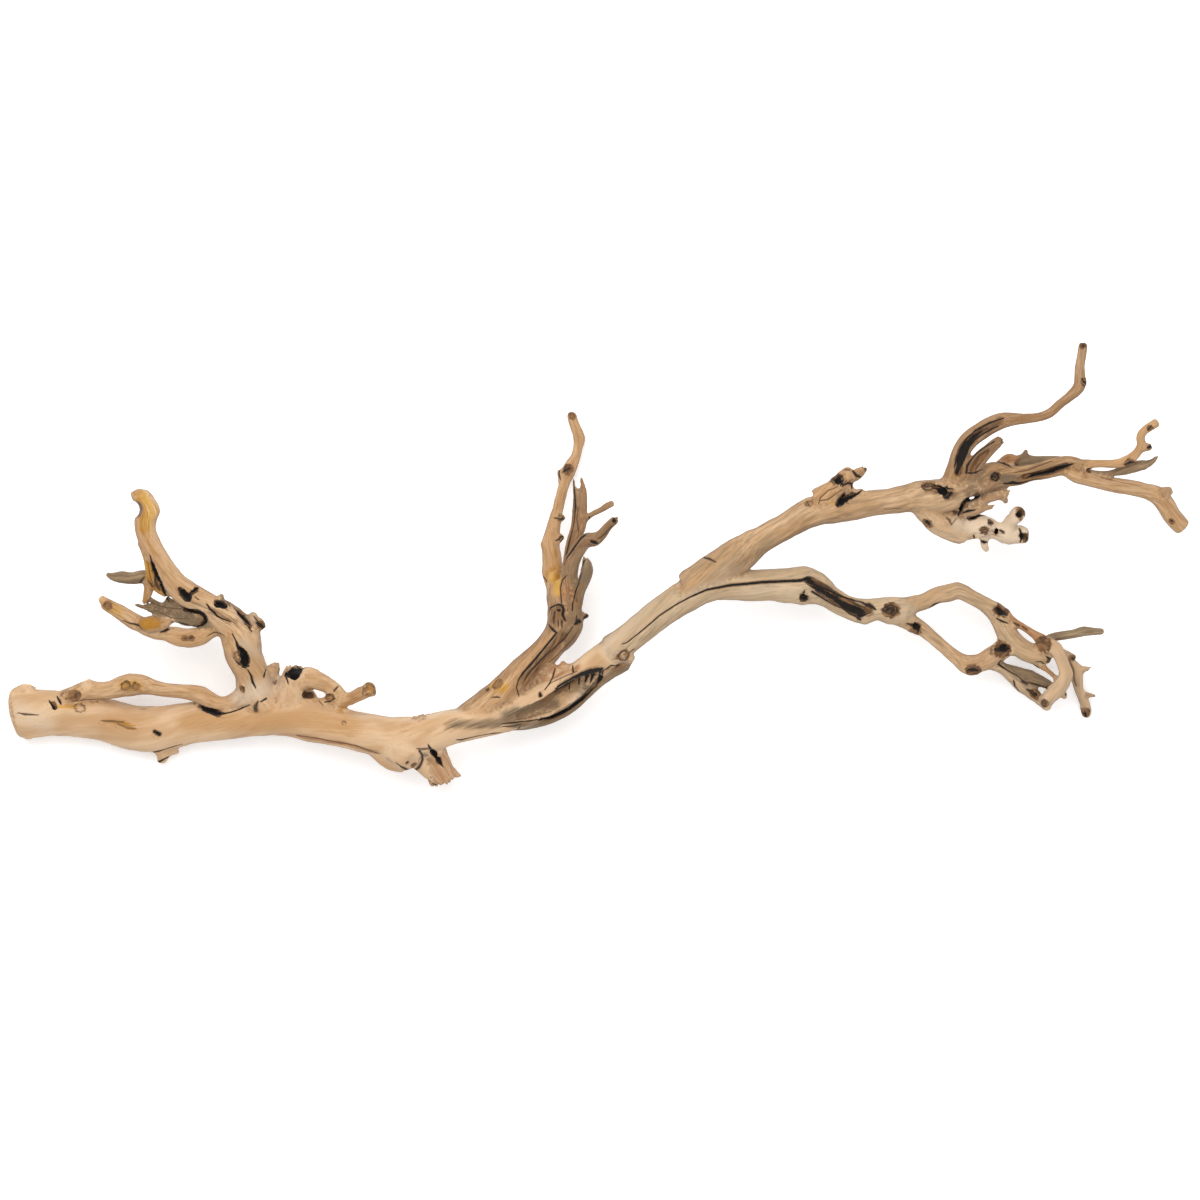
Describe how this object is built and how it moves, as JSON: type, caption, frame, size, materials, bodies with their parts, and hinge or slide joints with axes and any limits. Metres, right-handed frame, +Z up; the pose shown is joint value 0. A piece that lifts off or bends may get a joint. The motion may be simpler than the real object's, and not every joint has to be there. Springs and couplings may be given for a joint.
{
  "type": "grapevine branch",
  "caption": "Sandblasted grapevine branch that lies flat: a bowed trunk, hollow split crowns, a fork and an open loop of thin canes.",
  "frame": {"origin": "middle of the bounding box's underside, on the surface that the branch lies on", "axes": "+X along the branch, from the sawn trunk end to the thin canes; +Y across it, towards the crowns; +Z up, away from the surface"},
  "size_m": [0.789, 0.2957, 0.1017],
  "materials": {
    "blasted_vine_wood": "bark-free, sandblasted, matt"
  },
  "bodies": {
    "root": {"grapevine_branch": "blasted_vine_wood"}
  },
  "joints": []
}
